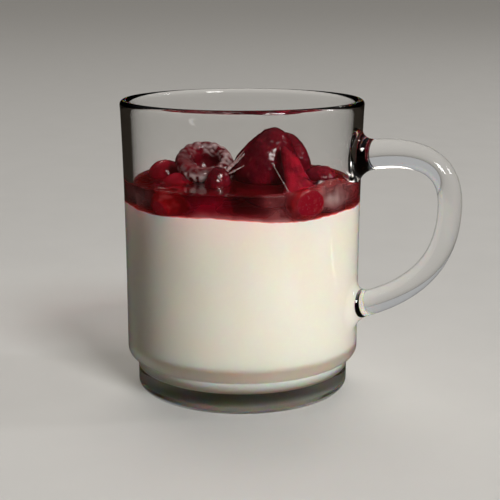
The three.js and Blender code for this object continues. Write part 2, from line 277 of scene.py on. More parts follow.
# Round the window, as steps from its middle: columns along the wall, rows up it
around = [(c, -WINDOW_ROWS) for c in range(-WINDOW_COLUMNS, WINDOW_COLUMNS)]
around += [(WINDOW_COLUMNS, r) for r in range(-WINDOW_ROWS, WINDOW_ROWS)]
around += [(-c, -r) for c, r in around]
column_step = 2 * math.pi * BODY_R / COLUMNS
along = np.array([c * column_step for c, r in around])
rise = np.array([r * row_step for c, r in around])
angle = np.arctan2(along / (WINDOW_COLUMNS * column_step), rise / (WINDOW_ROWS * row_step))
up, across = np.cos(angle), np.sin(angle)


def wall_point(side, z, clear):
    radius = body_radius(z)
    a = side / radius
    return np.stack([(radius + clear) * np.cos(a), (radius + clear) * np.sin(a), z], -1)


NEAR_ROOT = 0.3


def root_rings(sign, middle_z):
    """Rings from the window's edge to where the bar stands clear of the fillet, and that place on the bar."""
    shares = np.linspace(0, NEAR_ROOT, 900)
    if sign < 0:
        shares = 1 - shares
    rings, clear_at = [], np.zeros(len(around))
    normal = np.stack([across / HALF_WIDTH, sign * up / BAR_ROOT], -1)
    normal /= np.hypot(*normal.T)[:, None]
    for step in np.linspace(0, 90, 11):
        clear = FILLET * (1 - math.cos(math.radians(step)))
        spread = FILLET * (1 - math.sin(math.radians(step)))
        ring = np.zeros((len(around), 3))
        for k in range(len(around)):
            skin = bar_point(shares, up[k], across[k])
            gap = np.hypot(skin[:, 0], skin[:, 1]) - body_radius(skin[:, 2])
            share = np.interp(clear, gap, shares)
            x, y, z = bar_point(np.array([share]), up[k], across[k])[0]
            side = math.atan2(y, x) * float(body_radius(z)) + spread * normal[k, 0]
            ring[k] = wall_point(side, z + spread * normal[k, 1], clear)
            clear_at[k] = share
        rings.append(ring)
    foot = rings[0]
    foot_side = np.arctan2(foot[:, 1], foot[:, 0]) * body_radius(foot[:, 2])
    edge_z = middle_z + sign * rise
    spreading = []
    for t in (0.25, 0.5, 0.75):
        side, z = along + (foot_side - along) * t, edge_z + (foot[:, 2] - edge_z) * t
        spreading.append(wall_point(side, z, 0))
    return spreading + rings, clear_at


BAR_STEPS = 72
upper_rings, upper_share = root_rings(1, UPPER_Z)
lower_rings, lower_share = root_rings(-1, LOWER_Z)
bar_rings = [
    bar_point(upper_share + (lower_share - upper_share) * t, up, across)
    for t in np.linspace(0, 1, BAR_STEPS + 1)[1:-1]
]
rings = upper_rings + bar_rings + lower_rings[::-1]
loops = [[vertex(first_row + upper_row + r, c) for c, r in around]]
for ring in rings:
    loops.append(list(range(len(points), len(points) + len(ring))))
    points += [tuple(p) for p in ring]
loops.append([vertex(first_row + lower_row - r, c) for c, r in around])
for near, far in zip(loops, loops[1:]):
    count = len(around)
    faces += [(near[k], near[(k + 1) % count], far[(k + 1) % count], far[k]) for k in range(count)]

clear_glass, start = new_material("clear_glass")
wave = start.noise(55, 1.0, (1, 1, 0.5))
smear = start.noise(160, 3.0).ramp(0.45, 0.75)
body = start.add(
    "BsdfPrincipled",
    {},
    {
        "Base Color": smear.mix((0.99, 0.988, 0.982), (0.975, 0.972, 0.965)),
        "Roughness": smear * 0.02,
        "IOR": 1.5,
        "Transmission Weight": 1.0,
        "Normal": wave.bump(0.05),
    },
)
passing = start.add("BsdfTransparent", {}, {"Color": (0.93, 0.94, 0.935, 1)})
shadow = start.add("LightPath", out="Is Shadow Ray")
start.add("MixShader", {}, {0: shadow, 1: body, 2: passing}).show()

make_piece("mug", points, faces, clear_glass, ["glass_mug"])

# THE CREAM. Panna cotta poured warm and set in the mug, so that it takes the hollow's form and leaves no gap
# at the glass. Its top is nearly level, and the syrup has stained the last half millimetre of it.

CREAM_Z = 58.8
INTO_WALL = 0.12
CREAM_COLUMNS = 288


def turned(outline, columns):
    """Points and faces of an outline of (radius, height) pairs turned about the axis, closed at both ends."""
    a = 2 * math.pi * np.arange(columns) / columns
    spun = [(r * math.cos(t), r * math.sin(t), z) for r, z in outline[1:-1] for t in a]
    ends = [(0, 0, outline[0][1]), (0, 0, outline[-1][1])]
    sides = []
    for i in range(len(outline) - 3):
        low, high = i * columns, (i + 1) * columns
        for j in range(columns):
            after = (j + 1) % columns
            sides.append((low + j, low + after, high + after, high + j))
    first, final, top = len(spun), len(spun) + 1, (len(outline) - 3) * columns
    sides += [(first, (j + 1) % columns, j) for j in range(columns)]
    sides += [(final, top + j, top + (j + 1) % columns) for j in range(columns)]
    return np.array(spun + ends), sides


heights = [FLOOR_Z + FLOOR_ROUND * (1 - math.sin(math.radians(a))) for a in range(80, 9, -10)]
heights += [9.4, 9.8, 10.2, 10.8, 11.5, 12.2, 12.9, 13.6, 14.3, 15, 16.5, 19]
heights += list(range(22, 55, 3)) + [56, 56.8, 57.4, 57.9, 58.3, 58.6, CREAM_Z]
outline = [(0, FLOOR_Z - INTO_WALL), (10, FLOOR_Z - INTO_WALL), (20, FLOOR_Z - INTO_WALL)]
outline += [(float(inside_radius(z)) + INTO_WALL, z) for z in heights]
outline += [(r, CREAM_Z) for r in (33.3, 32.8, 32, 30, 26, 20, 12, 5)] + [(0, CREAM_Z)]
points, faces = turned(outline, CREAM_COLUMNS)

# The front is where the photograph was taken from, so many degrees round from the handle's square side
CAMERA_TURN = 18.0
# Where the cream stands higher or lower at the glass: degrees round from the front, half width, millimetres
WAVES = [(-18, 20, 0.95), (31, 18, -0.55), (-75, 14, 0.9), (58, 9, 0.2), (150, 40, 0.5), (-140, 30, -0.4)]


def from_front(points):
    """Degrees round the axis from the place that faces the camera."""
    turns = np.degrees(np.arctan2(points[:, 1], points[:, 0])) + 90 - CAMERA_TURN
    return (turns + 180) % 360 - 180


def cream_rise(points):
    """How far the cream's top stands over CREAM_Z at each point's place round the glass."""
    turns = from_front(points)
    rise = 0.07 * np.sin(np.radians(7 * turns + 120)) + 0.05 * np.sin(np.radians(19 * turns + 20))
    rise += 0.03 * np.sin(np.radians(43 * turns + 70))
    for middle, half_turn, higher in WAVES:
        rise += higher * np.exp(-((((turns - middle + 180) % 360 - 180) / half_turn) ** 2))
    return rise * smooth(np.hypot(points[:, 0], points[:, 1]), 20, 32)


points[:, 2] += cream_rise(points) * smooth(points[:, 2], 55, CREAM_Z)

set_cream, start = new_material("set_cream")
cloud = start.noise(70, 2.0, (1, 1, 0.6)).ramp(0.3, 0.7)
grain = start.noise(900, 3.0)
stained = start.add("Attribute", {"attribute_name": "stain"}, out=2)
stain = (stained + (start.noise(600, 3.0) - 0.5) * 0.9).ramp(0.42, 0.62)
colour = stain.mix(cloud.mix((0.865, 0.83, 0.745), (0.895, 0.865, 0.785)), (0.66, 0.16, 0.14))
start.add(
    "BsdfPrincipled",
    {},
    {
        "Base Color": colour,
        "Roughness": 0.34 + grain * 0.16,
        "IOR": 1.45,
        "Subsurface Weight": 1.0,
        "Subsurface Radius": (1.0, 0.45, 0.18),
        "Subsurface Scale": 0.008,
        "Normal": grain.bump(0.02),
    },
).show()
stained = smooth(points[:, 2] - cream_rise(points), CREAM_Z - 0.7, CREAM_Z + 0.1)
stained *= 0.55 + 0.45 * np.exp(-((from_front(points) / 40) ** 2))
make_piece("cream", points, faces, set_cream, ["panna_cotta"], {"stain": stained})

# THE STRAWBERRIES. Three whole thawed fruit, soft and soaked, with their hulls off. They stand in the syrup
# with the tips up. The leaning one is long and slim, and its broad end is pressed to the front of the glass.

# How far the fruit reaches into the wall and into the cream, and from how near it counts as on the glass
PRESSED = 0.16
INTO_CREAM = 0.1
TOUCHING = 0.3
# How many halvings find where a fruit meets one placed before it
HALVINGS = 14
placed = []


def ball(level):
    """Directions and faces of an even ball of triangles."""
    work = bmesh.new()
    bmesh.ops.create_icosphere(work, subdivisions=level, radius=1)
    work.verts.ensure_lookup_table()
    directions = np.array([v.co for v in work.verts])
    triangles = [[v.index for v in f.verts] for f in work.faces]
    work.free()
    return directions / np.linalg.norm(directions, axis=1)[:, None], triangles


def swell(d, phase, amount):
    """Soft uneven swelling, different for each fruit by its phase."""
    x, y, z = d.T
    waves = np.sin(3.1 * x + 1.7 * z + phase)
    waves += np.sin(2.7 * y - 2.3 * z + 2.4 * phase)
    waves += np.sin(4.6 * x * y + 1.3 * phase)
    return 1 + amount * waves / 3


def spread_over(count, phase):
    """Directions spaced evenly over a ball by the golden angle."""
    i = np.arange(count)
    z = 1 - (2 * i + 1) / count
    a = i * math.pi * (3 - math.sqrt(5)) + phase
    return np.stack([np.sqrt(1 - z * z) * np.cos(a), np.sqrt(1 - z * z) * np.sin(a), z], -1)


def uneven(points, scale, seed):
    """Noise from -1 to 1 at each point, with features about scale millimetres wide."""
    return np.array([noise.noise(Vector(p) / scale + Vector((seed, seed, seed))) for p in points])


def frame_of(tip):
    """The turn that takes straight up to the way the tip points."""
    turn = Vector((0, 0, 1)).rotation_difference(Vector(tip).normalized())
    return np.array(turn.to_matrix())


NECK_FROM, NECK_TO = 0.05, 0.55


def slimmer(to_tip, taper, neck):
    """Girth as a share of the full one: less towards the tip, and less above the shoulder of a long fruit."""
    return (1 - taper * to_tip**2) * (1 - neck * smooth(to_tip, NECK_FROM, NECK_TO))


def outside(p, other):
    """How far out a point is from a fruit's middle: 1 at its skin."""
    middle, turn, width, length, taper, neck, bend = other
    q = (p - middle) @ turn
    to_tip = np.clip(q[:, 2] / length + 0.5, 0, 1)
    q[:, :2] -= np.outer(4 * to_tip * (1 - to_tip), bend)
    q[:, :2] /= (width / 2 * slimmer(to_tip, taper, neck))[:, None]
    q[:, 2] /= length / 2
    return np.linalg.norm(q, axis=1)


def settle(points, at, turn, width, length, taper=0.0, flat=0.3, neck=0.0, bend=(0, 0)):
    """Puts a fruit in its place, where it gives way to the ones placed before it and rests on the cream. What
    is within flat millimetres of the glass is drawn to it. Also gives 1 where the skin is on the glass."""
    middle = np.array(at, float)
    moved = points @ turn.T + middle
    for other in placed:
        if np.linalg.norm(other[0] - middle) > (max(width, length) + max(other[2], other[3])) / 2:
            continue
        inside = outside(moved, other) < 1
        if not inside.any() or outside(middle[None], other)[0] < 1:
            continue
        near, far = np.zeros(inside.sum()), np.ones(inside.sum())
        reach = moved[inside] - middle
        for _ in range(HALVINGS):
            half = (near + far) / 2
            out = outside(middle + reach * half[:, None], other) > 1
            near, far = np.where(out, half, near), np.where(out, far, half)
        moved[inside] = middle + reach * near[:, None]
    placed.append((middle, turn, width, length, taper, neck, bend))
    radius = np.hypot(moved[:, 0], moved[:, 1])
    most = inside_radius(moved[:, 2]) + PRESSED
    free = np.maximum(most - radius, 0)
    left = free * smooth(free, 0, flat)
    moved[:, :2] *= ((most - left) / np.maximum(radius, 1))[:, None]
    moved[:, 2] = np.maximum(moved[:, 2], CREAM_Z - INTO_CREAM + cream_rise(moved))
    return moved, 1 - smooth(left, 0, TOUCHING)


def fruit_skin(name, deep, bright, clear, film_and_sheen, grain, relief=0.13):
    """Wet fruit in patches of two reds, grain of them to the metre. It is a clear red where it lies on the
    glass, with pale specks that are partly seeds and partly painted glints. Where it is pale it has the
    film_and_sheen
    colour: for seeds, dried juice and frost, and for painted sheen and painted highlights."""
    finish, start = new_material(name)
    patches = start.noise(grain, 3.0).ramp(0.34, 0.68)
    fibres = start.noise(grain * 5, 2.0)
    specks_and_glints = start.noise(1500, 2.0).ramp(0.56, 0.66)
    touch = start.add("Attribute", {"attribute_name": "touch"}, out=2)
    pale = start.add("Attribute", {"attribute_name": "pale"}, out=2)
    # Where the skin lies on the glass: pale specks, partly seeds and partly painted glints
    pressed = (specks_and_glints * 0.35).mix(clear, [0.5 * c + 0.06 for c in clear])
    grit = touch * start.noise(2400, 1.0)
    colour = pale.mix(touch.mix(patches.mix(deep, bright), pressed), film_and_sheen)
    start.add(
        "BsdfPrincipled",
        {},
        {
            "Base Color": colour,
            "Roughness": 0.05 + fibres * 0.16 + touch * 0.12,
            "Specular IOR Level": 0.35,
            "Subsurface Weight": 0.35,
            "Subsurface Radius": (1.0, 0.1, 0.08),
            "Subsurface Scale": 0.0015,
            "Normal": (fibres + grit * 0.5).bump(relief),
        },
    ).show()
    return finish


SEED_COUNT = 110
SEED_LONG, SEED_WIDE = 0.75, 0.5
PIT_AREA = 0.75
STRAWBERRY_TAPER = 0.3
# How far the skin goes out for lumps, folds towards the tip, the pits round the seeds and the seeds
LUMPS, FOLDS, PITS, SEEDS = 0.32, 0.05, -0.08, 0.04
SEED_PALENESS = 0.14


def strawberry(name, node, slot, finish, at, tip, width, length, phase, flat=0.3, neck=0.0, bend=(0, 0)):
    d, triangles = ball(7)
    to_tip = (d[:, 2] + 1) / 2
    girth = width / 2 * slimmer(to_tip, STRAWBERRY_TAPER, neck) * swell(d, phase, 0.1)
    half = length / 2 * swell(d, phase + 2, 0.05)
    skin = np.stack([d[:, 0] * girth, d[:, 1] * girth, d[:, 2] * half], -1)
    skin[:, :2] += np.outer(4 * to_tip * (1 - to_tip), bend)
    pits, seeds = np.zeros(len(d)), np.zeros(len(d))
    for spot in spread_over(SEED_COUNT, phase):
        near = np.nonzero(d @ spot > 0.97)[0]
        away = (d[near] - spot) * width / 2
        east = np.cross((0, 0, 1), spot)
        east /= np.linalg.norm(east)
        across, along = away @ east, away @ np.cross(spot, east)
        pits[near] += np.exp(-(across**2 + along**2) / PIT_AREA)
        seeds[near] += np.exp(-(((across / SEED_WIDE) ** 2 + (along / SEED_LONG) ** 2) ** 2))
    folds = np.sin(skin[:, 2] * 3.4 + 3.5 * uneven(skin, 5.0, phase)) * smooth(to_tip, 0.55, 0.9)
    lumps = uneven(skin, 5.5, phase + 7) + 0.5 * uneven(skin, 2.2, phase + 9)
    lumps += 0.2 * uneven(skin, 1.0, phase + 5)
    lift = LUMPS * lumps + FOLDS * folds + PITS * pits + SEEDS * seeds
    skin += d * lift[:, None]
    skin, touch = settle(skin, at, frame_of(tip), width, length, STRAWBERRY_TAPER, flat, neck, bend)
    sparse = smooth(uneven(skin, 4.0, phase + 4), -0.1, 0.3)
    values = {"pale": np.clip(seeds, 0, 1) * SEED_PALENESS * sparse, "touch": touch}
    make_piece(name, skin, triangles, finish, [node], values)


deep, bright, clear = (0.07, 0.001, 0.005), (0.125, 0.002, 0.008), (0.26, 0.003, 0.014)
crimson_strawberry = fruit_skin("crimson_strawberry", deep, bright, clear, (0.30, 0.06, 0.05), 200)
deep, bright, clear = (0.10, 0.001, 0.006), (0.24, 0.004, 0.014), (0.20, 0.001, 0.009)
scarlet_strawberry = fruit_skin("scarlet_strawberry", deep, bright, clear, (0.40, 0.08, 0.07), 200)

form = (8.5, -1.5, 70.7), (0.3, 0.19, 0.93), 20, 23.4, 0.4
strawberry("tall_strawberry", "strawberry_tall", "crimson_fruit", crimson_strawberry, *form)
form = (9.9, 16.4, 68.8), (-0.09, -0.03, 1), 17.8, 19.4, 2.1
strawberry("second_strawberry", "strawberry_behind", "crimson_fruit", crimson_strawberry, *form)
form = (20, -14.5, 68.1), (-0.39, 0.51, 0.77), 16, 24.2, 4.2, 6.0, 0.56, (1.1, 0.45)
strawberry("leaning_strawberry", "strawberry_leaning", "scarlet_fruit", scarlet_strawberry, *form)

# THE RASPBERRY. Picked off its core, so that it is a thick cup of small beads round a hollow. It lies on the
# other fruit with its mouth to the front. Round the lip, where it faces up, it is painted pale grey: partly a
# film of dried syrup and partly a painted reflection of light from above. A pale grey patch lies on its lower
# side, and an S-shaped painted highlight in the hollow.

RASPBERRY_R, RASPBERRY_LENGTH = 8.9, 15.4
MOUTH_AT, MOUTH_FACES = (-9.3, -8.8, 73.3), (0.17, -0.52, 0.84)
BEAD_R = 1.55
# Its skin is a grid. The outer beads are set on its first rows, and the hollow is lined by the last ones.
SKIN_ROWS, SKIN_COLUMNS = 110, 160
OUTER_ROWS, HOLLOW_FROM = 80, 75
# How far the hollow lies to the side of the fruit's middle
HOLLOW_ASIDE = np.array([0.6, 0.7])


def rounded(corners, count):
    """Evenly spaced points on a smooth line through the corners."""
    c = np.array(corners, float)
    c = np.vstack([2 * c[0] - c[1], c, 2 * c[-1] - c[-2]])
    curve = []
    for i in range(1, len(c) - 2):
        t = np.linspace(0, 1, 40, endpoint=False)[:, None]
        a, b, e, f = c[i - 1 : i + 3]
        bow, twist = 2 * a - 5 * b + 4 * e - f, 3 * b - a - 3 * e + f
        curve.append(0.5 * (2 * b + (e - a) * t + bow * t**2 + twist * t**3))
    curve = np.vstack([*curve, c[-2][None]])
    steps = np.concatenate([[0], np.cumsum(np.hypot(*np.diff(curve, axis=0).T))])
    even = np.linspace(0, steps[-1], count)
    return np.stack([np.interp(even, steps, curve[:, 0]), np.interp(even, steps, curve[:, 1])], -1)


r, deep_end = RASPBERRY_R - 0.5, -RASPBERRY_LENGTH
corners = [(0, deep_end), (0.42 * r, deep_end + 0.8), (0.84 * r, 0.55 * deep_end), (r, 0.2 * deep_end)]
corners += [(0.98 * r, 0.07 * deep_end), (0.82 * r, 0), (0.62 * r, 0.02 * deep_end)]
corners += [(0.5 * r, 0.1 * deep_end), (0.42 * r, 0.26 * deep_end), (0.2 * r, 0.36 * deep_end)]
corners += [(0, 0.38 * deep_end)]
outline = rounded(corners, SKIN_ROWS)
outline[0, 0] = outline[-1, 0] = 0
skin, faces = turned([tuple(p) for p in outline], SKIN_COLUMNS)
outer = outline[:OUTER_ROWS]
beads = []
for row, z in enumerate(np.linspace(0.03 * deep_end, deep_end + 1.6, 7)):
    radius = float(outer[np.argmin(np.abs(outer[:, 1] - z)), 0])
    count = max(3, round(2 * math.pi * radius / (2 * BEAD_R * 0.98)))
    for j in range(count):
        a = 2 * math.pi * (j + 0.5 * (row % 2)) / count + 1.0
        beads.append((radius * math.cos(a), radius * math.sin(a), z))
for radius, z, count in ((0.72 * r, 0.0, 12), (0.47 * r, 0.16 * deep_end, 9)):
    for j in range(count):
        a = 2 * math.pi * j / count + 0.7
        beads.append((radius * math.cos(a), radius * math.sin(a), z))
beads = np.array(beads)
reach = np.min(np.linalg.norm(skin[:, None, :] - beads[None], axis=2), axis=1)
swelling = np.sqrt(np.clip(1 - (reach / (BEAD_R * 1.12)) ** 2, 0, 1))
outward = skin - np.array([0, 0, -0.62 * RASPBERRY_LENGTH])
in_hollow = np.arange(len(skin)) // SKIN_COLUMNS >= HOLLOW_FROM
in_hollow[-2:] = [False, True]
flat_r = np.hypot(skin[:, 0], skin[:, 1])[:, None]
to_axis = np.concatenate([-skin[:, :2] / np.maximum(flat_r, 0.5), np.full((len(skin), 1), 0.35)], 1)
outward = np.where(in_hollow[:, None], to_axis, outward)
outward /= np.linalg.norm(outward, axis=1)[:, None]
skin += outward * (swelling * np.where(in_hollow, 0.3, 0.5))[:, None]
skin += outward * (0.35 * uneven(skin, 4.2, 3) + 0.12 * uneven(skin, 1.6, 8))[:, None]
skin[:, :2] += HOLLOW_ASIDE * smooth(-flat_r, -0.8 * r, -0.5 * r) * in_hollow[:, None]
skin[:, 1] *= 0.93
grid = skin[:-2].reshape(-1, SKIN_COLUMNS, 3)
on_lip = smooth(skin[:, 2], 0.17 * deep_end, 0.02 * deep_end)
on_lip *= smooth(np.hypot(skin[:, 0], skin[:, 1]), 0.40 * r, 0.56 * r)
facing = np.cross(np.roll(grid, -1, 1) - np.roll(grid, 1, 1), np.roll(grid, -1, 0) - np.roll(grid, 1, 0))
facing = np.vstack([facing.reshape(-1, 3), [(0, 0, -1), (0, 0, 1)]])
facing /= np.maximum(np.linalg.norm(facing, axis=1), 1e-9)[:, None]
ring_degrees = np.degrees(np.arctan2(skin[:, 1], skin[:, 0]))


def round_ring(middle, half):
    """1 at the place so many degrees round the mouth, and less the further from it."""
    return np.exp(-((((ring_degrees - middle + 180) % 360 - 180) / half) ** 2))


streaks = 0.6 + 1.1 * uneven(skin * (1, 1, 0.5), 1.1, 12) + 0.7 * uneven(skin, 3.0, 11)
# How strong the pale grey is round the lip, most at the top and the right where it faces up: partly dried
# film and partly a painted reflection of light from above
film_and_sheen_amount = 0.09 + 0.75 * round_ring(80, 62) + 0.4 * round_ring(5, 38)
facing_up = smooth(facing[:, 2], 0.0, 0.7)
wet_patch = 3.6 * round_ring(-90, 32) * np.exp(-(((skin[:, 2] + 2.0) / 1.1) ** 2))
film_and_sheen = facing_up * on_lip * film_and_sheen_amount + wet_patch * smooth(uneven(skin, 1.6, 15), -0.4, 0.0)
film_and_sheen = np.clip(film_and_sheen * streaks, 0, 1)
# An S-shaped painted highlight in the hollow, in the same pale colour
highlight_line = -1.9 + 0.5 * np.sin(np.radians(6 * (ring_degrees - 88)))
s_highlight = in_hollow * round_ring(88, 26) ** 2 * np.exp(-(((skin[:, 2] - highlight_line) / 0.35) ** 2))
film_and_sheen = np.maximum(film_and_sheen, 0.9 * s_highlight)
mouth = frame_of(MOUTH_FACES)
middle = np.array(MOUTH_AT) + mouth @ (0, 0, deep_end / 2)
skin, touch = settle(skin - (0, 0, deep_end / 2), middle, mouth, 2 * RASPBERRY_R, RASPBERRY_LENGTH)
deep, bright, clear = (0.07, 0.001, 0.004), (0.13, 0.002, 0.008), (0.3, 0.004, 0.015)
# Its pale colour serves the dried film, the painted reflection round the lip and the painted highlight in the
# hollow
raspberry_skin = fruit_skin("raspberry_skin", deep, bright, clear, (0.50, 0.38, 0.38), 260)
values = {"pale": film_and_sheen, "touch": touch}
make_piece("raspberry", skin, faces, raspberry_skin, ["raspberry_open"], values)

# THE ROUND BERRIES. Cranberries, currants and small cherries with taut shiny skins, each with the little
# dimple that its flower left. They float half sunk, most of them round the wall.

DIMPLE_R = 1.3


def round_berry(name, node, slot, finish, at, tip, width, length, phase, flat=0.3):
    d, triangles = ball(6)
    plump = swell(d, phase, 0.05) / 2
    skin = d * plump[:, None] * (width, width, length)
    from_tip = np.arccos(np.clip(d[:, 2], -1, 1)) * width / 2
    petals = 0.25 * np.cos(5 * np.arctan2(d[:, 1], d[:, 0]) + phase)
    dimple = np.exp(-((from_tip / DIMPLE_R) ** 2)) * (1 + petals * smooth(from_tip, 0.2, 1.0))
    collar = np.exp(-(((from_tip - 1.5 * DIMPLE_R) / 0.5) ** 2))
    lift = 0.14 * uneven(skin, 2.6, phase) + 0.06 * uneven(skin, 1.0, phase + 3)
    lift = lift - 0.5 * dimple + 0.08 * collar
    skin = skin + d * lift[:, None]
    skin, touch = settle(skin, at, frame_of(tip), width, length, 0.0, flat)
    values = {"pale": np.clip(dimple, 0, 1), "touch": touch}
    make_piece(name, skin, triangles, finish, [node], values)


deep, bright, clear = (0.15, 0.001, 0.006), (0.24, 0.002, 0.012), (0.22, 0.002, 0.009)
scarlet_skin = fruit_skin("scarlet_skin", deep, bright, clear, (0.08, 0.005, 0.01), 150)
deep, bright, clear = (0.07, 0.001, 0.005), (0.12, 0.002, 0.008), (0.2, 0.002, 0.010)
crimson_skin = fruit_skin("crimson_skin", deep, bright, clear, (0.04, 0.003, 0.005), 150)
# Each berry's piece, its solid, its red, its middle, where its dimple points, its width, its length and its
# phase, and for the one pressed to the glass from how near it is drawn there
ROUND = [
    ("oval_currant", "currant_oval", "crimson", (-2.7, -16, 65.6), (0.2, 0.1, 1), 7.8, 12.2, 0.9),
    ("handle_cherry", "cherry_by_handle", "crimson", (22.7, 8.7, 64.3), (0.2, 0.3, 0.9), 11.4, 11.2, 3.3),
    ("left_cranberry", "cranberry_left", "scarlet", (-24.3, -3.7, 65.3), (0.3, 0.1, 0.95), 11.6, 11.9, 5.2),
    ("low_cranberry", "cranberry_low", "scarlet", (-16.2, -14, 63.7), (0.6, -0.2, 0.77), 10, 10.2, 1.6),
    ("front_cranberry", "cranberry_at_glass", "scarlet", (-12.2, -25.2, 61.3), (0.15, -0.2, 0.97),
     12.2, 8.9, 2.8, 1.3),
    ("back_right_currant", "currant_back_right", "scarlet", (21.6, 18.8, 63.6), (0, 0.4, 0.9), 8.8, 9, 4.4),
    ("middle_currant", "currant_middle", "crimson", (-6.7, 10.6, 64), (0.5, 0, 0.87), 9.4, 9.8, 0.2),
    ("back_left_cherry", "cherry_back_left", "crimson", (-17.9, 11.5, 64.6), (-0.3, 0.3, 0.9),
     10.8, 10.6, 3.9),
    ("back_left_currant", "currant_back_left", "scarlet", (-15.8, 22.7, 63.9), (0.1, 0.2, 0.97),
     9.2, 9.6, 5.9),
    ("back_currant", "currant_back", "scarlet", (6.4, 29, 63.2), (0, 0.6, 0.8), 7.8, 8, 2.5),
    ("far_left_currant", "currant_far_left", "scarlet", (-26.9, 8.4, 63.6), (0.1, 0, 1), 8.6, 9, 0.7),
]
for name, node, red, *form in ROUND:
    skin_finish = scarlet_skin if red == "scarlet" else crimson_skin
    round_berry(name, node, red + "_fruit", skin_finish, *form)

# THE BRAMBLES. Two small dark fruit of shiny beads, one by the handle and one at the back. The tops of the
# beads that face up are painted grey in patches: partly frost and partly a painted highlight.

# How many beads each has, and a bead's half width as an angle from the fruit's middle
BRAMBLE_BEADS, BEAD_ANGLE = 38, 0.40
deep, bright, clear = (0.012, 0.001, 0.004), (0.04, 0.002, 0.008), (0.10, 0.004, 0.012)
# Its pale grey is for frost and for the painted highlight on the beads' tops
bramble_skin = fruit_skin("bramble_skin", deep, bright, clear, (0.34, 0.27, 0.27), 300)


def bramble(name, node, at, tip, width, length, phase):
    d, triangles = ball(6)
    nearest = np.arccos(np.clip((d @ spread_over(BRAMBLE_BEADS, phase).T).max(axis=1), -1, 1))
    dome = np.sqrt(np.clip(1 - (nearest / BEAD_ANGLE) ** 2, 0, 1))
    skin = d * (0.83 + 0.17 * dome)[:, None] * (width, width, length) / 2
    skin += d * (0.05 * uneven(skin, 1.2, phase))[:, None]
    turn = frame_of(tip)
    # The beads' upward faces, painted grey in patches: partly frost and partly a painted highlight
    frost_and_highlight = smooth(d @ turn.T[:, 2], 0.2, 0.9) * dome
    frost_and_highlight *= np.clip(0.5 + 1.6 * uneven(skin, 1.4, phase + 5), 0, 1)
    skin, touch = settle(skin, at, turn, width, length)
    make_piece(name, skin, triangles, bramble_skin, [node], {"pale": frost_and_highlight, "touch": touch})


bramble("handle_bramble", "bramble_by_handle", (26.8, -6.4, 61.9), (0.4, 0.3, 0.87), 10.8, 11.6, 0.3)
bramble("back_bramble", "bramble_back", (-4.9, 23.1, 64.6), (0.8, 0.4, 0.4), 10.4, 12, 1.2)

# THE THREADS. Thick juice, drawn out in threads between the raspberry and the tall strawberry, and a wet line
# in the crease beside the leaning one. They are thin, and painted a pinkish grey, a painted reflection of
# light on the wet juice; the line in the crease is a painted highlight.

THREAD_SIDES, THREAD_STEPS, THREAD_FLATNESS = 10, 40, 0.4
DRAWN_OUT = [(-1.1, -18.9, 68.7), (0.3, -16.6, 70.6), (2.0, -12.2, 73.0), (3.3, -5.6, 75.0)]
CREASE = [(12.4, -9.6, 72.4), (13.5, -9.7, 70.1), (17.4, -15.6, 68.2), (20.6, -21.7, 66.5)]
# Each thread's line, how far its end is shifted to the right and up, and its half thickness
THREADS = [
    (DRAWN_OUT, 0, 0, 0.5),
    (DRAWN_OUT, -0.7, 0.5, 0.2),
    (DRAWN_OUT, 2.0, -2.8, 0.3),
    (CREASE, 0, 0, 0.2),
]
points, faces = [], []
for number, (path, right, upward, thick) in enumerate(THREADS):
    corners = [(x + right * k / 3, y, z + upward * k / 3) for k, (x, y, z) in enumerate(path)]
    bends = [rounded([(k, c[axis]) for k, c in enumerate(corners)], THREAD_STEPS) for axis in range(3)]
    middle_line = np.stack([b[:, 1] for b in bends], -1)
    ahead = np.gradient(middle_line, axis=0)
    ahead /= np.linalg.norm(ahead, axis=1)[:, None]
    side = np.cross(ahead, (0.31, -0.95, 0))
    side /= np.linalg.norm(side, axis=1)[:, None]
    front = np.cross(side, ahead)
    share = np.linspace(0, 1, len(middle_line))
    width = thick * (0.55 + 0.9 * (1 - share) ** 2) * (1 + 0.8 * uneven(middle_line, 1.1, number))
    first = len(points)
    for k, at in enumerate(middle_line):
        for j in range(THREAD_SIDES):
            a = 2 * math.pi * j / THREAD_SIDES
            beside = side[k] * math.cos(a) * width[k]
            points.append(at + beside + front[k] * math.sin(a) * width[k] * THREAD_FLATNESS)
    for k in range(len(middle_line) - 1):
        for j in range(THREAD_SIDES):
            here, there = first + k * THREAD_SIDES, first + (k + 1) * THREAD_SIDES
            after = (j + 1) % THREAD_SIDES
            faces.append((here + j, here + after, there + after, there + j))
    faces.append([first + j for j in range(THREAD_SIDES)])
    faces.append([len(points) - 1 - j for j in range(THREAD_SIDES)])
# Pinkish greys that stand for a painted reflection of light on the wet juice
deep, bright, clear = (0.20, 0.11, 0.11), (0.36, 0.27, 0.27), (0.2, 0.01, 0.02)
thread_skin = fruit_skin("thread_skin", deep, bright, clear, (0.3, 0.2, 0.2), 900, 0.03)
none = np.zeros(len(points))
make_piece("juice_threads", points, faces, thread_skin, values={"pale": none, "touch": none})

# THE SYRUP. Thawed juice and sugar, dark red and clouded with pulp and a little cream. It fills the mug from
# the cream to the berries' waists, climbs a little up each of them and the glass, and has left a smear up the
# glass by the handle.

SYRUP_Z = 66.3
SYRUP_LOW = CREAM_Z - 1.3
SYRUP_INTO_WALL = 0.08
SYRUP_RINGS, SYRUP_COLUMNS = 110, 256
# How high it climbs, and how far out from what it climbs on
CLIMB, CLIMB_REACH = 0.22, 0.8
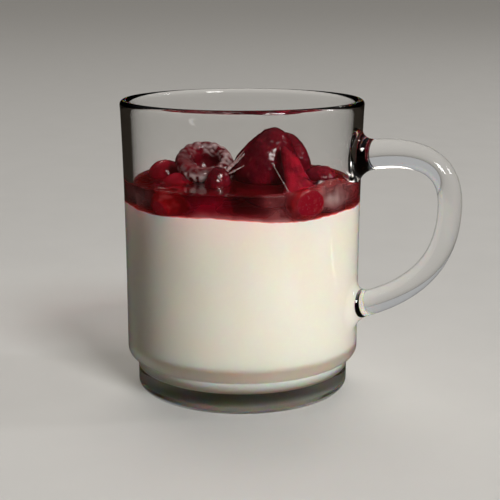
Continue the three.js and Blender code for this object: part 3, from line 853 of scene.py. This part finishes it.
# The smear: degrees round from the front, half width, height and depth
SMEAR_TURN, SMEAR_HALF_TURN, SMEAR_HEIGHT, SMEAR_REACH = 46, 16, 2.6, 0.35
edge_r = float(inside_radius(SYRUP_Z)) + SYRUP_INTO_WALL
radii = edge_r * (1 - (1 - np.linspace(0, 1, SYRUP_RINGS)) ** 1.25)
outline = [(0, SYRUP_Z)] + [(float(r), SYRUP_Z) for r in radii[1:]]
heights = [65.6, 64.8, 64, 63.2, 62.4, 61.6, 60.8, 60, 59.4, 58.8, 58.2, SYRUP_LOW]
outline += [(float(inside_radius(z)) + SYRUP_INTO_WALL, z) for z in heights]
outline += [(25, SYRUP_LOW), (12, SYRUP_LOW), (0, SYRUP_LOW)]
points, faces = turned(outline, SYRUP_COLUMNS)
top = points[:, 2] > SYRUP_Z - 0.01
surface = points[top]
inward = edge_r - np.hypot(surface[:, 0], surface[:, 1])
climb = np.exp(-inward / CLIMB_REACH) * CLIMB
smear = np.exp(-(((from_front(surface) - SMEAR_TURN) / SMEAR_HALF_TURN) ** 2))
smear *= SMEAR_HEIGHT + 1.2 * uneven(surface, 4.0, 31)
climb += smear * np.exp(-inward / SMEAR_REACH)
for other in placed:
    gap = (outside(surface, other) - 1) * other[2] / 2
    climb = np.maximum(climb, CLIMB * np.exp(-np.abs(gap) / CLIMB_REACH))
points[top, 2] += climb + 0.08 * uneven(surface, 6.0, 4)

# Where pulp and cream have gathered at the glass: degrees round from the front, height over the cream, half
# the width in degrees, half the height, and how much pulp and how much cream there is
CLOUDS = [
    (17, 3.4, 9, 5.0, 0.55, 0.30),
    (50, 6.5, 13, 4.8, 0.90, 1.0),
    (-62, 4.0, 14, 3.5, 0.40, 0.50),
    (74, 4.0, 8, 5.0, 0.45, 0.0),
    (-17, 3.2, 9, 3.4, 0.50, 0.0),
    (-10, 0.4, 20, 1.1, 0.85, 0.12),
    (6, 0.1, 26, 0.6, 0.80, 0.45),
    (150, 4.0, 40, 4.0, 0.35, 0.5),
]
round_front = from_front(points)
over_cream = points[:, 2] - CREAM_Z - cream_rise(points)
at_wall = smooth(np.hypot(points[:, 0], points[:, 1]), edge_r - 1.2, edge_r - 0.1)
rough = uneven(points, 5.0, 21) + 0.5 * uneven(points, 1.8, 22)
pulp = (0.06 + 0.12 * smooth(rough, -0.1, 0.5)) * np.where(points[:, 2] > SYRUP_Z - 0.01, 0.4, 1)
creamy = np.zeros(len(points))
for middle, z, half_turn, half_height, thick, white in CLOUDS:
    away = ((round_front - middle + 180) % 360 - 180) / half_turn
    near = np.exp(-(away**2) - ((over_cream - z) / half_height) ** 2)
    near = at_wall * near * (0.75 + 0.6 * rough)
    pulp += thick * near
    creamy += white * near

syrup_finish, start = new_material("syrup")
clear = start.add(
    "BsdfPrincipled",
    {},
    {
        "Base Color": (0.97, 0.5, 0.5, 1),
        "Roughness": 0.03,
        "IOR": 1.37,
        "Transmission Weight": 1.0,
    },
)
milk = start.add("Attribute", {"attribute_name": "cream"}, out=2)
veil = start.add(
    "BsdfPrincipled",
    {},
    {
        "Base Color": milk.mix((0.24, 0.002, 0.012), (0.38, 0.27, 0.26)),
        "Roughness": 0.6,
        "Specular IOR Level": 0.0,
        "Subsurface Weight": 0.5,
        "Subsurface Radius": (1.0, 0.3, 0.3),
        "Subsurface Scale": 0.002,
    },
)
passing = start.add("BsdfTransparent", {}, {"Color": (0.95, 0.5, 0.5, 1)})
thickness = start.add("Attribute", {"attribute_name": "pulp"}, out=2)
clouded = start.add("MixShader", {}, {0: thickness, 1: clear, 2: veil})
shadow = start.add("LightPath", out="Is Shadow Ray")
thick = start.add("VolumeAbsorption", {}, {"Color": (0.62, 0.03, 0.08, 1), "Density": 330.0})
start.add("MixShader", {}, {0: shadow, 1: clouded, 2: passing}).show(thick)
values = {"pulp": np.clip(pulp, 0, 1), "cream": np.clip(creamy, 0, 1)}
make_piece("syrup", points, faces, syrup_finish, ["berry_syrup"], values)

# THE FLOOR AND THE STUDIO. A plain pale floor, a large soft light to the right of the camera, a small one at
# the side, and warm light from overhead towards the back. Floor and room are pale where the camera sees them,
# also through the glass, and dark in mirrored and bounced light, which keeps the fruit's deep reds.

FLOOR_SIZE, FLOOR_CELLS = 60.0, 24
floor_mesh = bpy.data.meshes.new("floor")
work = bmesh.new()
bmesh.ops.create_grid(work, x_segments=FLOOR_CELLS, y_segments=FLOOR_CELLS, size=FLOOR_SIZE / 2)
work.to_mesh(floor_mesh)
work.free()
pale_floor, start = new_material("pale_floor")
fleck = start.noise(40, 4.0)
mirrored = start.add("LightPath", out="Glossy Depth").ramp(0, 1)
bounced = start.add("LightPath", out="Diffuse Depth").ramp(0, 1)
matt = start.add(
    "BsdfPrincipled",
    {},
    {"Base Color": fleck.mix((0.66, 0.655, 0.645), (0.70, 0.695, 0.685)), "Roughness": 0.5 + fleck * 0.1},
)
dark = start.add("BsdfDiffuse", {}, {"Color": (0.03, 0.025, 0.02, 1)})
start.add("MixShader", {}, {0: start.maths("MAXIMUM", mirrored, bounced * 0.9), 1: matt, 2: dark}).show()
floor_mesh.materials.append(pale_floor)
floor_sheet = bpy.data.objects.new("floor", floor_mesh)
bpy.context.scene.collection.objects.link(floor_sheet)

turned_axis = math.radians(CAMERA_TURN)
aim = Vector((AXIS_X * MM, 0, 0.045))


def from_camera(right, back, up):
    """A direction given as the camera's right, away from it and up, in the frame."""
    c, s = math.cos(turned_axis), math.sin(turned_axis)
    return Vector((right * c - back * s, right * s + back * c, up))


def soft_light(name, way, distance, width, height, power, colour):
    """A rectangular light in metres and watts, which stands the way given and faces the mug."""
    lamp = bpy.data.lights.new(name, "AREA")
    lamp.shape, lamp.size, lamp.size_y = "RECTANGLE", width, height
    lamp.energy, lamp.color = power, colour
    holder = bpy.data.objects.new(name, lamp)
    bpy.context.scene.collection.objects.link(holder)
    holder.location = aim + way.normalized() * distance
    holder.rotation_euler = (-way).to_track_quat("-Z", "Y").to_euler()


soft_light("key", from_camera(0.53, -0.82, 0.70), 3.0, 0.9, 0.9, 60, (1.0, 0.985, 0.955))
soft_light("side", from_camera(0.88, 0.10, 0.50), 2.6, 0.2, 0.5, 6.5, (1.0, 1.0, 1.0))

ceiling = bpy.data.lights.new("ceiling", "SUN")
ceiling.energy, ceiling.angle = 1.2, math.radians(40)
ceiling.color = (1.0, 0.94, 0.85)
holder = bpy.data.objects.new("ceiling", ceiling)
bpy.context.scene.collection.objects.link(holder)
holder.rotation_euler = (-from_camera(-0.1, 0.8, 1.1)).to_track_quat("-Z", "Y").to_euler()
holder.visible_glossy = False

room = bpy.data.worlds.new("room")
room.use_nodes = True
room.node_tree.nodes.clear()
start = Wire(room.node_tree)
# A little light from above, and a glow that only rays straight from the camera or through the glass see
above = start.add("SeparateXYZ", {}, {0: start.add("TexCoord")}, out=2).ramp(0.3, 0.9)
seen = start.add("LightPath", out="Ray Depth") - start.add("LightPath", out="Transmission Depth")
seen = 1 - seen.ramp(1, 2)
glow = start.add("Background", {}, {"Color": (0.98, 0.99, 1.0, 1), "Strength": above * 0.1 + seen * 0.42})
room.node_tree.links.new(glow.socket, room.node_tree.nodes.new("ShaderNodeOutputWorld").inputs["Surface"])
bpy.context.scene.world = room
bpy.context.scene.view_settings.view_transform = "Standard"

# The camera stands at the photograph's place, so far from the mug's axis and above the floor, and is turned
# down and a little to the side by degrees
CAMERA_AWAY, CAMERA_UP = 361.64, 124.49
CAMERA_DOWN, CAMERA_ASIDE = 12.716, 0.379
CAMERA_LENS, CAMERA_NEAR = 84.86, 0.01
lens = bpy.data.cameras.new("camera")
lens.lens = CAMERA_LENS
lens.clip_start = CAMERA_NEAR
camera = bpy.data.objects.new("camera", lens)
bpy.context.scene.collection.objects.link(camera)
camera.location = Vector((AXIS_X * MM, 0, CAMERA_UP * MM)) + from_camera(0, -CAMERA_AWAY * MM, 0)
camera.rotation_euler = (math.radians(90 - CAMERA_DOWN), 0, math.radians(CAMERA_TURN - CAMERA_ASIDE))
bpy.context.scene.camera = camera
